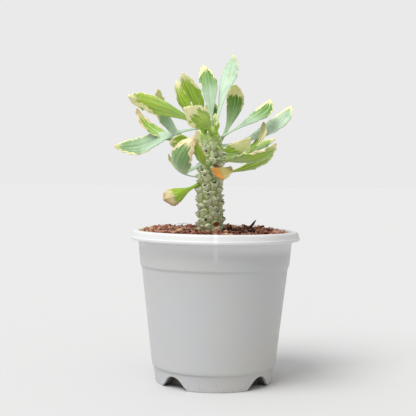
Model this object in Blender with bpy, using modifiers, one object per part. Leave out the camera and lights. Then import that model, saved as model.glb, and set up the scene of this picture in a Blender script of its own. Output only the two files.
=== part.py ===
"""Potted variegated euphorbia: a white plastic nursery pot, potting mix, one tuberculate stem and
its leaves, each piece a separate object. Metres, +Z up, the pot stands on z = 0."""

import math
from collections import namedtuple

import bmesh
import bpy
from mathutils import Matrix, Vector, noise

MM = 0.001
FIT_GAP = 0.3 * MM

# The longest leaf reaches further out than the rim, so the pot's axis stands beside the origin, which
# is the middle of the whole footprint.
POT_AXIS_X = 7.8 * MM

# Pot
POT_HEIGHT = 98.1 * MM
RIM_RADIUS = 55.0 * MM
RIM_DEPTH = 5.9 * MM
WALL_TOP_RADIUS = 50.2 * MM
STEP_RADIUS = 48.5 * MM
STEP_HEIGHT = 75.6 * MM
BELOW_STEP_RADIUS = 47.6 * MM
BELOW_STEP_HEIGHT = 73.6 * MM
WALL_FOOT_RADIUS = 40.5 * MM
SKIRT_TOP_RADIUS = 39.1 * MM
BASE_RADIUS = 37.7 * MM
WALL = 1.3 * MM
FLOOR_CORNER = 1.8 * MM
FLOOR_TOP = 11.5 * MM
FLOOR_BOTTOM = 9.7 * MM
POT_SEGMENTS = 64
NOTCH_COUNT = 4
NOTCH_TURN = math.radians(48.5)
NOTCH_HALF_WIDTH = 9.0 * MM
NOTCH_HEIGHT = 8.0 * MM
NOTCH_INNER_END = 30.0 * MM
RIB_CLEARANCE = 0.5 * MM
DRAIN_RADIUS = 3.0 * MM

# Potting mix
SOIL_TOP = 96.2 * MM
SOIL_REACH = 47.0 * MM
SOIL_GAP = 0.4 * MM
SOIL_MOUND = 1.2 * MM
SOIL_TILT = 1.8 * MM
SOIL_RIPPLE = 0.5 * MM
STEM_BURIED = 25.0 * MM

# Stem: height above the floor, sideways lean of the centre, core radius
STEM_FOOT = SOIL_TOP - STEM_BURIED
STEM_APEX = 166.0 * MM
STEM_LEAN = ((71, -3.0), (95, -3.0), (110, -3.6), (125, -4.0), (140, -3.2), (150, -2.4), (166, -2.2))
STEM_CORE = ((71, 5.5), (84, 8.2), (95, 8.3), (110, 7.7), (140, 7.6), (150, 6.9), (158, 5.9), (166, 3.0))
TUBERCLE_HEIGHT = 1.3 * MM
TUBERCLE_PITCH = 0.75 * MM
GOLDEN_ANGLE = math.radians(137.5)

LEAF_THICKNESS = 1.2 * MM
PETIOLE_HALF_WIDTH = 1.1 * MM
LEAF_WIDEST = 0.64
LEAF_STEPS = 36
LEAF_ROWS = 9
LEAF_COLUMNS = 4

GREEN = (0.235, 0.36, 0.10)
MINT = (0.46, 0.60, 0.46)
TAN = (0.50, 0.36, 0.17)

# Each leaf: height of its foot on the stem and compass angle (0 is +X, 90 is +Y), then the rise of its
# first stretch, its roll about its own midrib, its length and width, and how far it bends up, curls at
# the tip, sways sideways, twists and folds along the midrib. Millimetres and degrees.
Leaf = namedtuple("Leaf", "name z turn rise roll length width bend curl sway twist fold colour")
LEAVES = (
    Leaf("leaf_crown_tall", 164.6, 70, 74, 31, 73, 12, -59, 37, -22, -49, 9, MINT),
    Leaf("leaf_crown_back", 164.6, 101, 82, 11, 56, 12, -54, 10, -5, -19, 16, MINT),
    Leaf("leaf_crown_front", 161.3, 260, 18, -44, 52, 15.5, -14, 49, 15, -13, 15, GREEN),
    Leaf("leaf_crown_left_inner", 164.6, 234, 54, 18, 44, 13.5, -20, 20, -10, -13, 15, GREEN),
    Leaf("leaf_crown_left_outer", 159.5, 190, 57, -80, 42, 11, 35, -20, -16, -37, 13, GREEN),
    Leaf("leaf_crown_right", 158.8, 36, 56, -56, 42, 12, 85, 9, -27, 2, 15, MINT),
    Leaf("leaf_left_high", 164.6, 199, 28, -109, 65, 13, -21, -21, 37, -5, 13, GREEN),
    Leaf("leaf_left_long", 164.6, 171, -2, 18, 73, 15, -68, 87, 32, 65, 7, MINT),
    Leaf("leaf_left_upturned", 156.3, 132, 4, 30, 60.5, 15, 116, 21, 3, 40, 18, MINT),
    Leaf("leaf_left_boat", 153.3, 149, 7, 18, 67.5, 12.5, 6, 52, 30, 26, 23, TAN),
    Leaf("leaf_left_under", 153, 184, 18, -62, 21, 11, -38, -5, 8, 0, 12, GREEN),
    Leaf("leaf_right_high", 160, 5, 31, -17, 49, 13, -30, 42, -54, -32, 8, MINT),
    Leaf("leaf_right_long", 153.7, 22, 10, -29, 68, 14, 13, 8, -41, 1, 14, MINT),
    Leaf("leaf_right_front", 152, -65, -24, 26, 38, 13, 54, 27, 12, -5, 28, GREEN),
    Leaf("leaf_right_back", 148, 26, -3, 1, 59, 10, 47, -42, -49, -12, 15, MINT),
    Leaf("leaf_right_trough", 145.4, 0, 1, -19, 39, 11.7, 60, 53, -40, 5, 39, TAN),
    Leaf("leaf_right_boat", 145, -48, -14, 23, 57, 14, 31, 28, 20, -14, 23, GREEN),
    Leaf("leaf_right_low", 135.8, 2, 9, 30, 35, 12.3, 33, -6, -6, 13, 17, GREEN),
    Leaf("leaf_front_curled", 140, 216, -25, 49, 60, 13, 125, 20, -12, -15, 26, TAN),
    Leaf("leaf_front_small", 139.5, 257, -1, 7, 43, 8.6, 56, 20, 9, 10, 12, GREEN),
    Leaf("leaf_withered", 140, -72, -14, -8, 23, 16, -10, -7, 8, 3, 35, TAN),
    Leaf("leaf_left_thin", 133, 147, 0, -12, 33, 8, 58, 3, 5, -1, 15, MINT),
    Leaf("leaf_low_drooping", 127, 200, -27, -101, 30, 12.5, -48, -1, -2, -9, 20, GREEN),
    Leaf("leaf_far_high", 159, 118, 48, 0, 34, 12, 10, 10, 0, 0, 15, GREEN),
    Leaf("leaf_far_upper", 159, 96, 66, 0, 28, 11, 0, 10, 4, 0, 15, MINT),
    Leaf("leaf_far_middle", 150, 100, 5, 0, 40, 13, 40, 10, 0, 0, 18, GREEN),
    Leaf("leaf_far_left", 148, 126, 0, 0, 36, 12, 30, 10, 0, 0, 18, MINT),
    Leaf("leaf_far_low", 143, 65, -5, 0, 38, 12, 40, 20, 0, 0, 20, GREEN),
    Leaf("leaf_far_lowest", 136, 84, -12, 0, 32, 11, 30, 10, 0, 0, 18, GREEN),
)

# Bark chips lying on the mix: name, distance and angle from the pot's axis, then length, width,
# thickness and the turn of the length. Millimetres and degrees.
CHIPS = (
    ("bark_chip_dark", 24, -36, 11, 7, 3.2, 20),
    ("bark_chip_long", 34, 15, 13, 5, 2.4, 70),
    ("bark_chip_left", 36, 205, 10, 6, 2.6, -30),
    ("bark_chip_far", 30, 100, 12, 6, 2.8, 10),
)


def along(table, height):
    """Value at a height, in metres, read between the rows of a table in millimetres."""
    level = height / MM
    for (low, a), (high, b) in zip(table, table[1:]):
        if level <= high:
            part = max(0.0, (level - low) / (high - low))
            return (a + (b - a) * part) * MM
    return table[-1][1] * MM


def new_material(name, colour, roughness):
    material = bpy.data.materials.new(name)
    material.use_nodes = True
    shader = material.node_tree.nodes["Principled BSDF"]
    shader.inputs["Base Color"].default_value = (*colour, 1.0)
    shader.inputs["Roughness"].default_value = roughness
    shader.inputs["Metallic"].default_value = 0.0
    material.diffuse_color = (*colour, 1.0)
    return material


def new_object(name, mesh, colour, roughness, collection, parent=None):
    part = bpy.data.objects.new(name, mesh)
    collection.objects.link(part)
    part.parent = parent
    part.data.materials.append(new_material(name, colour, roughness))
    return part


def mesh_from(bm, name):
    mesh = bpy.data.meshes.new(name)
    bm.to_mesh(mesh)
    bm.free()
    return mesh


def turned(name, profile, segments, collection, parent, colour, roughness):
    """A solid of revolution from a profile of (radius, height) that starts and ends on the axis."""
    bm = bmesh.new()
    points = [bm.verts.new((radius, 0.0, height)) for radius, height in profile]
    for first, second in zip(points, points[1:]):
        bm.edges.new((first, second))
    part = new_object(name, mesh_from(bm, name), colour, roughness, collection, parent)
    screw = part.modifiers.new("turn", "SCREW")
    screw.axis = "Z"
    screw.steps = segments
    screw.render_steps = segments
    screw.use_merge_vertices = True
    screw.merge_threshold = 0.00002
    screw.use_smooth_shade = False
    return part


def add_boolean(part, operation, other):
    change = part.modifiers.new(operation.lower(), "BOOLEAN")
    change.operation = operation
    change.solver = "EXACT"
    change.object = other


def hide(tool):
    tool.hide_render = True
    tool.display_type = "WIRE"


# ---------------------------------------------------------------- pot


def pot_profile():
    """Wall, rim and floor in one loop, from the floor's middle over the rim and back under the floor."""
    rim_foot = POT_HEIGHT - RIM_DEPTH
    rim_underside = POT_HEIGHT - 1.5 * MM
    return (
        (0.0, FLOOR_TOP),
        (WALL_FOOT_RADIUS - WALL - 2.2 * MM, FLOOR_TOP),
        (WALL_FOOT_RADIUS - WALL + 0.2 * MM, FLOOR_TOP + FLOOR_CORNER),
        (BELOW_STEP_RADIUS - WALL, BELOW_STEP_HEIGHT),
        (STEP_RADIUS - WALL, STEP_HEIGHT),
        (WALL_TOP_RADIUS - WALL, POT_HEIGHT - 1.6 * MM),
        (WALL_TOP_RADIUS - WALL + 0.9 * MM, POT_HEIGHT),
        (RIM_RADIUS - 2.0 * MM, POT_HEIGHT),
        (RIM_RADIUS - 1.2 * MM, POT_HEIGHT - 0.7 * MM),
        (RIM_RADIUS, rim_foot + 0.4 * MM),
        (RIM_RADIUS - 0.3 * MM, rim_foot),
        (RIM_RADIUS - 1.1 * MM, rim_foot),
        (RIM_RADIUS - 2.4 * MM, rim_underside),
        (WALL_TOP_RADIUS, rim_underside),
        (WALL_TOP_RADIUS - 0.2 * MM, 91.0 * MM),
        (STEP_RADIUS, STEP_HEIGHT),
        (BELOW_STEP_RADIUS, BELOW_STEP_HEIGHT),
        (WALL_FOOT_RADIUS, 12.6 * MM),
        (WALL_FOOT_RADIUS - 0.5 * MM, 10.9 * MM),
        (SKIRT_TOP_RADIUS, 10.0 * MM),
        (BASE_RADIUS + 0.3 * MM, 0.6 * MM),
        (BASE_RADIUS, 0.0),
        (BASE_RADIUS - WALL, 0.0),
        (BASE_RADIUS - WALL + 0.5 * MM, FLOOR_BOTTOM - 0.6 * MM),
        (BASE_RADIUS - WALL - 0.1 * MM, FLOOR_BOTTOM),
        (0.0, FLOOR_BOTTOM),
    )


def arch_block(name, half_width, height, start, end, angle, collection, parent):
    """A half-round bar lying along a radius of the pot, its flat side below the floor line."""
    bm = bmesh.new()
    bmesh.ops.create_cone(bm, cap_ends=True, segments=24, radius1=1.0, radius2=1.0, depth=end - start)
    bmesh.ops.rotate(bm, cent=(0, 0, 0), matrix=Matrix.Rotation(math.pi / 2, 3, "Y"), verts=bm.verts)
    bmesh.ops.scale(bm, vec=(1.0, half_width, height), verts=bm.verts)
    bmesh.ops.translate(bm, vec=((start + end) / 2, 0, 0), verts=bm.verts)
    bmesh.ops.rotate(bm, cent=(0, 0, 0), matrix=Matrix.Rotation(angle, 3, "Z"), verts=bm.verts)
    block = bpy.data.objects.new(name, mesh_from(bm, name))
    collection.objects.link(block)
    block.parent = parent
    return block


def trim_above_ground(block):
    """Cuts a block off just above the level the pot stands on."""
    bm = bmesh.new()
    bm.from_mesh(block.data)
    cut = bmesh.ops.bisect_plane(
        bm, geom=bm.verts[:] + bm.edges[:] + bm.faces[:], plane_co=(0, 0, RIB_CLEARANCE),
        plane_no=(0, 0, 1), clear_inner=True)
    edges = [item for item in cut["geom_cut"] if isinstance(item, bmesh.types.BMEdge)]
    bmesh.ops.holes_fill(bm, edges=edges, sides=0)
    bmesh.ops.recalc_face_normals(bm, faces=bm.faces)
    bm.to_mesh(block.data)
    bm.free()


def make_pot(parts, cutters, parent):
    pot = turned("pot", pot_profile(), POT_SEGMENTS, parts, parent, (0.86, 0.86, 0.87), 0.35)
    turns = [NOTCH_TURN - math.pi / 2 + number * math.tau / NOTCH_COUNT for number in range(NOTCH_COUNT)]
    for number, angle in enumerate(turns):
        shell = arch_block(f"notch_shell_{number}", NOTCH_HALF_WIDTH + WALL, NOTCH_HEIGHT + WALL * 1.6,
                           NOTCH_INNER_END - WALL, BASE_RADIUS - WALL / 2, angle, cutters, parent)
        trim_above_ground(shell)
        hide(shell)
        add_boolean(pot, "UNION", shell)
    for number, angle in enumerate(turns):
        arch = arch_block(f"notch_{number}", NOTCH_HALF_WIDTH, NOTCH_HEIGHT, NOTCH_INNER_END,
                          BASE_RADIUS + 8 * MM, angle, cutters, parent)
        hide(arch)
        add_boolean(pot, "DIFFERENCE", arch)
        bm = bmesh.new()
        bmesh.ops.create_cone(bm, cap_ends=True, segments=16, radius1=DRAIN_RADIUS, radius2=DRAIN_RADIUS,
                              depth=12 * MM)
        radius = NOTCH_INNER_END + DRAIN_RADIUS + 0.6 * MM
        centre = Vector((math.cos(angle) * radius, math.sin(angle) * radius, FLOOR_TOP))
        bmesh.ops.translate(bm, vec=centre, verts=bm.verts)
        drain = bpy.data.objects.new(f"drain_{number}", mesh_from(bm, f"drain_{number}"))
        cutters.objects.link(drain)
        drain.parent = parent
        hide(drain)
        add_boolean(pot, "DIFFERENCE", drain)
    return pot


# ---------------------------------------------------------------- potting mix


def soil_height(x, y):
    """Top of the mix: a low mound with gentle ripples, heaped a little towards the back."""
    reach = min(1.0, math.hypot(x, y) / SOIL_REACH)
    ripple = noise.noise(Vector((x, y, 0.0)) / (9.0 * MM))
    heap = SOIL_MOUND * (1.0 - reach ** 2) + SOIL_TILT * y / SOIL_REACH
    return SOIL_TOP + heap + SOIL_RIPPLE * ripple * (1.0 - reach ** 4)


def make_soil(parts, cutters, parent):
    """The mix fills the pot below the rim. Its top is a turned disc moved up and down."""
    wall_foot = WALL_FOOT_RADIUS - WALL - FIT_GAP
    profile = [(0.0, SOIL_TOP)]
    profile += [(radius * MM, SOIL_TOP) for radius in (6, 12, 18, 24, 30, 36, 42, 46)]
    profile += [
        (48.55 * MM, SOIL_TOP),
        (STEP_RADIUS - WALL - SOIL_GAP, STEP_HEIGHT),
        (BELOW_STEP_RADIUS - WALL - SOIL_GAP, BELOW_STEP_HEIGHT),
        (wall_foot, FLOOR_TOP + FLOOR_CORNER + FIT_GAP),
        (wall_foot - 2.4 * MM, FLOOR_TOP + FIT_GAP),
        (0.0, FLOOR_TOP + FIT_GAP),
    ]
    soil = turned("soil", profile, 40, parts, parent, (0.13, 0.06, 0.035), 0.9)
    bpy.context.view_layer.update()
    surface = soil.evaluated_get(bpy.context.evaluated_depsgraph_get())
    mesh = bpy.data.meshes.new_from_object(surface)
    soil.modifiers.clear()
    soil.data = mesh
    for vertex in mesh.vertices:
        if vertex.co.z > SOIL_TOP - 0.1 * MM:
            vertex.co.z = soil_height(vertex.co.x, vertex.co.y)
    socket = bmesh.new()
    depth = STEM_BURIED + 2 * FIT_GAP + SOIL_MOUND
    bmesh.ops.create_cone(socket, cap_ends=True, segments=32, radius1=6.2 * MM, radius2=11.2 * MM,
                          depth=depth + 6 * MM)
    middle = STEM_FOOT - FIT_GAP + (depth + 6 * MM) / 2
    bmesh.ops.translate(socket, vec=(along(STEM_LEAN, STEM_FOOT), 0, middle), verts=socket.verts)
    hole = bpy.data.objects.new("stem_socket", mesh_from(socket, "stem_socket"))
    cutters.objects.link(hole)
    hole.parent = parent
    hide(hole)
    add_boolean(soil, "DIFFERENCE", hole)
    return soil


# ---------------------------------------------------------------- stem


def tubercle_bump(height, angle):
    """How far the stem stands out at a place: shingled bumps on a golden-angle spiral."""
    if height < SOIL_TOP:
        return 0.0
    best = 0.0
    first = int((height - SOIL_TOP - 6 * MM) / TUBERCLE_PITCH)
    last = int((height - SOIL_TOP + 6 * MM) / TUBERCLE_PITCH)
    for number in range(first, last + 1):
        rise = height - SOIL_TOP - number * TUBERCLE_PITCH
        aside = (angle - number * GOLDEN_ANGLE + math.pi) % math.tau - math.pi
        across = abs(aside) * 8.0 * MM / (3.6 * MM)
        up = rise / (3.4 * MM) if rise > 0 else -rise / (4.6 * MM)
        best = max(best, 1.0 - across ** 2 - up ** 2)
    fade = min(1.0, (height - SOIL_TOP) / (4 * MM)) * min(1.0, max(0.0, (STEM_APEX - height) / (10 * MM)))
    return TUBERCLE_HEIGHT * math.sqrt(max(0.0, best)) * fade


def make_stem(parts, parent):
    """One closed skin: the rings of a sphere stretched along the stem's leaning centre line."""
    rings = 46
    bm = bmesh.new()
    bmesh.ops.create_uvsphere(bm, u_segments=32, v_segments=rings, radius=1.0)
    for vertex in bm.verts:
        level = 1.0 - math.acos(max(-1.0, min(1.0, vertex.co.z))) / math.pi
        angle = math.atan2(vertex.co.y, vertex.co.x)
        pole = math.hypot(vertex.co.x, vertex.co.y) < 1e-4
        height = STEM_FOOT + (STEM_APEX - STEM_FOOT) * level
        close = min(1.0, math.sqrt(level * rings / 2.5), math.sqrt((1.0 - level) * rings / 3.5))
        radius = 0.0 if pole else (along(STEM_CORE, height) + tubercle_bump(height, angle)) * close
        lean = along(STEM_LEAN, height)
        vertex.co = (lean + radius * math.cos(angle), radius * math.sin(angle), height)
    return new_object("stem", mesh_from(bm, "stem"), (0.33, 0.38, 0.22), 0.6, parts, parent)


# ---------------------------------------------------------------- leaves


def leaf_half_width(leaf, part):
    """A narrow stalk that widens past the middle and closes to the tip."""
    power = math.log(0.5) / math.log(LEAF_WIDEST)
    blade = leaf.width / 2 * MM * max(0.0, math.sin(math.pi * part ** power)) ** 0.8
    stalk = PETIOLE_HALF_WIDTH * math.sqrt(max(0.0, 1.0 - part / LEAF_WIDEST))
    return max(math.hypot(blade, stalk), 0.35 * MM)


def turned_towards(first, second, angle):
    """Two unit vectors turned in their own plane, the first towards the second."""
    cos, sin = math.cos(angle), math.sin(angle)
    return first * cos + second * sin, second * cos - first * sin


def leaf_stations(leaf):
    """Places along the midrib: centre, sideways and upward directions."""
    rise, turn = math.radians(leaf.rise), math.radians(leaf.turn)
    heading = Vector((math.cos(rise) * math.cos(turn), math.cos(rise) * math.sin(turn), math.sin(rise)))
    side = Vector((math.sin(turn), -math.cos(turn), 0.0))
    up = side.cross(heading)
    side, up = turned_towards(side, up, math.radians(leaf.roll))
    height = leaf.z * MM
    reach = along(STEM_CORE, height) + TUBERCLE_HEIGHT + FIT_GAP + LEAF_THICKNESS / 2
    centre = Vector((along(STEM_LEAN, height) + reach * math.cos(turn), reach * math.sin(turn), height))
    stations = [(centre, side, up)]
    step = leaf.length * MM / LEAF_STEPS
    for number in range(LEAF_STEPS):
        part = (number + 0.5) / LEAF_STEPS
        bend = math.radians(leaf.bend + 4 * leaf.curl * part ** 3) / LEAF_STEPS
        heading, up = turned_towards(heading, up, bend)
        heading, side = turned_towards(heading, side, math.radians(leaf.sway) / LEAF_STEPS)
        side, up = turned_towards(side, up, math.radians(leaf.twist) / LEAF_STEPS)
        centre = centre + heading * step
        stations.append((centre, side, up))
    return stations


def make_leaf(leaf, parts, parent):
    """A flat grid laid along the midrib, folded into a shallow trough and given its thickness."""
    stations = leaf_stations(leaf)
    curve = leaf.width / 2 * MM / math.radians(leaf.fold)
    bm = bmesh.new()
    bmesh.ops.create_grid(bm, x_segments=LEAF_ROWS, y_segments=LEAF_COLUMNS, size=1.0)
    for vertex in bm.verts:
        part = (vertex.co.x + 1.0) / 2
        centre, side, up = stations[round(part * LEAF_STEPS)]
        across = vertex.co.y * leaf_half_width(leaf, part)
        aside = curve * math.sin(across / curve)
        lift = curve * (1.0 - math.cos(across / curve))
        vertex.co = centre + side * aside + up * lift
    blade = new_object(leaf.name, mesh_from(bm, leaf.name), leaf.colour, 0.5, parts, parent)
    thicken = blade.modifiers.new("thickness", "SOLIDIFY")
    thicken.thickness = LEAF_THICKNESS
    thicken.offset = 0.0
    return blade


# ---------------------------------------------------------------- bark chips and twig


def make_chip(chip, parts, parent):
    """A broken slab of bark, resting just clear of the mix."""
    name, reach, angle, length, width, thick, turn = chip
    x = reach * MM * math.cos(math.radians(angle))
    y = reach * MM * math.sin(math.radians(angle))
    bm = bmesh.new()
    bmesh.ops.create_icosphere(bm, subdivisions=2, radius=0.5)
    for vertex in bm.verts:
        place = vertex.co * 2
        rough = 1.0 + 0.25 * noise.noise(place * 2.2 + Vector((reach, angle, 0)))
        flat = Vector([math.copysign(abs(value) ** power, value)
                       for value, power in zip(place, (0.6, 0.6, 0.5))])
        vertex.co = flat * rough / 2
    bmesh.ops.scale(bm, vec=(length * MM, width * MM, thick * MM), verts=bm.verts)
    bmesh.ops.rotate(bm, cent=(0, 0, 0), matrix=Matrix.Rotation(math.radians(turn), 3, "Z"), verts=bm.verts)
    clear = max(soil_height(x + v.co.x, y + v.co.y) - v.co.z for v in bm.verts)
    bmesh.ops.translate(bm, vec=(x, y, clear + FIT_GAP), verts=bm.verts)
    return new_object(name, mesh_from(bm, name), (0.09, 0.045, 0.03), 0.85, parts, parent)


def make_twig(parts, parent):
    """A short dark twig that leans up out of the mix."""
    start, end = Vector((21, 10, 0)) * MM, Vector((27, 12, 4.0)) * MM
    base = soil_height(start.x, start.y)
    curve = bpy.data.curves.new("twig", "CURVE")
    curve.dimensions = "3D"
    curve.bevel_depth = 0.8 * MM
    curve.bevel_resolution = 1
    curve.use_fill_caps = True
    line = curve.splines.new("POLY")
    line.points.add(3)
    bends = (Vector((0, 0, 0)), Vector((0, 0.8, 0.5)) * MM, Vector((0.4, -0.3, 0)) * MM, Vector((0, 0, 0)))
    for number, bend in enumerate(bends):
        place = start.lerp(end, number / 3) + bend
        line.points[number].co = (place.x, place.y, place.z + base + 1.5 * MM, 1.0)
    return new_object("twig", curve, (0.04, 0.03, 0.025), 0.8, parts, parent)


def clear_scene():
    for item in list(bpy.data.objects):
        bpy.data.objects.remove(item, do_unlink=True)


def main():
    clear_scene()
    parts = bpy.data.collections.new("potted_euphorbia")
    cutters = bpy.data.collections.new("cutters")
    for collection in (parts, cutters):
        bpy.context.scene.collection.children.link(collection)
    axis = bpy.data.objects.new("pot_axis", None)
    axis.location = (POT_AXIS_X, 0.0, 0.0)
    parts.objects.link(axis)
    make_pot(parts, cutters, axis)
    make_soil(parts, cutters, axis)
    make_stem(parts, axis)
    for leaf in LEAVES:
        make_leaf(leaf, parts, axis)
    for chip in CHIPS:
        make_chip(chip, parts, axis)
    make_twig(parts, axis)


main()
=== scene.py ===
"""Potted variegated euphorbia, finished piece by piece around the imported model's frame. Metres."""

import math
import random
from collections import namedtuple

import bmesh
import bpy
import numpy as np
from mathutils import Matrix, Vector, noise


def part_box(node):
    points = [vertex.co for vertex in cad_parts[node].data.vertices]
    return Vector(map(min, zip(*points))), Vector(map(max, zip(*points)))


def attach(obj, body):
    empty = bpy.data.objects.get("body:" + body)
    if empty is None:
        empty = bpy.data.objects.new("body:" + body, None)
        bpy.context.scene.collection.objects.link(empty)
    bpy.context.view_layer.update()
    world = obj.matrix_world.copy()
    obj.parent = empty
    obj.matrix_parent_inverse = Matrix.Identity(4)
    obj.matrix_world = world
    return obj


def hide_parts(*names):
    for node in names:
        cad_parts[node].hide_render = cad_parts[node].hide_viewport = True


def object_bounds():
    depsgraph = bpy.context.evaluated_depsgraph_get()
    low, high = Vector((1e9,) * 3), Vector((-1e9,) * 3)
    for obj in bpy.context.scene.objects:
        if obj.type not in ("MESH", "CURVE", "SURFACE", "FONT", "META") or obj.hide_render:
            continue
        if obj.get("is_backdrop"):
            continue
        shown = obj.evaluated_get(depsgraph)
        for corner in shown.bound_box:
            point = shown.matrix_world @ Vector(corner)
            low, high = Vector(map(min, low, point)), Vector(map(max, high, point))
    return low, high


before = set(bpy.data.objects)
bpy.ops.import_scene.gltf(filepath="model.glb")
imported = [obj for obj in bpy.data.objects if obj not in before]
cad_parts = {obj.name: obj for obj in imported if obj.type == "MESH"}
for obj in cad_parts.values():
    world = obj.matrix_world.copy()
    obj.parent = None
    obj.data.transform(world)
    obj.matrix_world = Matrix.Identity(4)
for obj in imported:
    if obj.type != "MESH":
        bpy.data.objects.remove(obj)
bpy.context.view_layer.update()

# ------------------------------------------------------------------ camera
# A long lens a little above the rim, almost level, as for a catalogue picture of a potted plant.
# Everything below is measured from the pot's own axis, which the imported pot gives.

MM = 0.001
pot_low, pot_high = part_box("pot")
POT_X = (pot_low.x + pot_high.x) / 2
CAMERA_PLACE = Vector((POT_X - 4.9 * MM, -562 * MM, 129.2 * MM))
CAMERA_DOWN = math.radians(1.70)
CAMERA_TURN = math.radians(0.71)
LENS = 74.5
SENSOR = 36.0

camera_data = bpy.data.cameras.new("camera")
camera_data.lens = LENS
camera_data.sensor_width = SENSOR
camera_data.clip_start = 0.01
camera = bpy.data.objects.new("camera", camera_data)
camera.matrix_world = (
    Matrix.Translation(CAMERA_PLACE)
    @ Matrix.Rotation(math.pi / 2 - CAMERA_DOWN, 4, "X")
    @ Matrix.Rotation(CAMERA_TURN, 4, "Z"))
bpy.context.scene.collection.objects.link(camera)
bpy.context.scene.camera = camera
bpy.context.scene.view_settings.view_transform = "Standard"
bpy.context.scene.view_settings.look = "None"

# ------------------------------------------------------------------ studio
# A pale floor that runs into a pale surround of the same tone, a wide soft key light high on the
# left in front, and a sky that is brightest overhead, like a large diffuser above the table.

FLOOR_HALF = 30.0
KEY_STRENGTH = 2.4
KEY_SOFTNESS = math.radians(34)
KEY_FROM = Vector((-0.50, -0.52, 1.15))
SKY_TOP = 0.98
SKY_SIDE = 0.52
SKY_LEFT = 1.16
SKY_COOL = (0.95, 0.98, 1.07, 1.0)
SKY_RIGHT = 0.80


def paint(red, green, blue):
    """A colour chip given in 0-255 screen values, as the linear colour that shaders need."""
    def linear(value):
        value /= 255
        return value / 12.92 if value <= 0.04045 else ((value + 0.055) / 1.055) ** 2.4
    return (linear(red), linear(green), linear(blue), 1.0)


def add_node(tree, kind, inputs=None, **settings):
    """Adds a shader node with its settings and inputs; an input is a value or another node's output."""
    node = tree.nodes.new(kind)
    for name, value in settings.items():
        setattr(node, name, value)
    for name, value in (inputs or {}).items():
        if isinstance(value, bpy.types.NodeSocket):
            tree.links.new(value, node.inputs[name])
        else:
            node.inputs[name].default_value = value
    return node


def calculate(tree, operation, first, second=0.0, third=0.0):
    """One sum on single values; a full-range clamp is never wanted here."""
    return add_node(tree, "ShaderNodeMath", {0: first, 1: second, 2: third}, operation=operation).outputs[0]


def blend_colours(tree, factor, first, second, kind="MIX"):
    node = add_node(tree, "ShaderNodeMix", data_type="RGBA", blend_type=kind)
    sockets = (node.inputs["Factor"], node.inputs[6], node.inputs[7])
    for socket, value in zip(sockets, (factor, first, second)):
        if isinstance(value, bpy.types.NodeSocket):
            tree.links.new(value, socket)
        else:
            socket.default_value = value
    return node.outputs[2]


def ease(tree, value, start, end, low=0.0, high=1.0):
    """A smooth step from low to high while value goes from start to end."""
    node = add_node(tree, "ShaderNodeMapRange", {"Value": value, "From Min": start, "From Max": end,
                                                 "To Min": low, "To Max": high},
                    interpolation_type="SMOOTHSTEP")
    return node.outputs["Result"]


def grain_at(tree, place, scale, detail, roughness=0.5):
    """A soft random value at a place; a larger scale gives a finer grain."""
    inputs = {"Vector": place, "Scale": scale, "Detail": detail, "Roughness": roughness}
    return add_node(tree, "ShaderNodeTexNoise", inputs).outputs["Fac"]


def read_marks(tree, names):
    """The values that a piece carries on its own vertices, by name."""
    return {name: add_node(tree, "ShaderNodeAttribute", attribute_name=name).outputs["Fac"]
            for name in names.split()}


def add_relief(tree, shader, height, strength, distance):
    """Fine surface relief on a shader, its depth in metres."""
    bump = add_node(tree, "ShaderNodeBump", {"Height": height, "Strength": strength, "Distance": distance})
    tree.links.new(bump.outputs["Normal"], shader.inputs["Normal"])


def new_material(name):
    """An empty material with its Principled shader joined to the output."""
    material = bpy.data.materials.new(name)
    material.use_nodes = True
    tree = material.node_tree
    tree.nodes.clear()
    output = add_node(tree, "ShaderNodeOutputMaterial")
    shader = add_node(tree, "ShaderNodeBsdfPrincipled")
    tree.links.new(shader.outputs["BSDF"], output.inputs["Surface"])
    return material, tree, shader


BACKDROP = paint(234, 234, 234)
FLOOR_DARK = (0.562, 0.558, 0.550, 1.0)
FLOOR_LIGHT = (0.568, 0.564, 0.556, 1.0)

floor_material, floor_tree, floor_shader = new_material("studio_floor")
floor_grain = add_node(floor_tree, "ShaderNodeTexNoise", {"Scale": 3.0, "Detail": 2.0})
floor_tree.links.new(
    blend_colours(floor_tree, floor_grain.outputs["Fac"], FLOOR_DARK, FLOOR_LIGHT),
    floor_shader.inputs["Base Color"])
floor_shader.inputs["Roughness"].default_value = 0.9
floor_shader.inputs["Specular IOR Level"].default_value = 0.0
bm = bmesh.new()
bmesh.ops.create_grid(bm, x_segments=1, y_segments=1, size=FLOOR_HALF)
floor_mesh = bpy.data.meshes.new("studio_floor")
bm.to_mesh(floor_mesh)
bm.free()
floor_mesh.materials.append(floor_material)
studio_floor = bpy.data.objects.new("studio_floor", floor_mesh)
bpy.context.scene.collection.objects.link(studio_floor)
studio_floor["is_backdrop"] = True

key_data = bpy.data.lights.new("key_light", "SUN")
key_data.energy = KEY_STRENGTH
key_data.angle = KEY_SOFTNESS
key_light = bpy.data.objects.new("key_light", key_data)
key_light.matrix_world = KEY_FROM.to_track_quat("Z", "Y").to_matrix().to_4x4()
bpy.context.scene.collection.objects.link(key_light)

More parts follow.
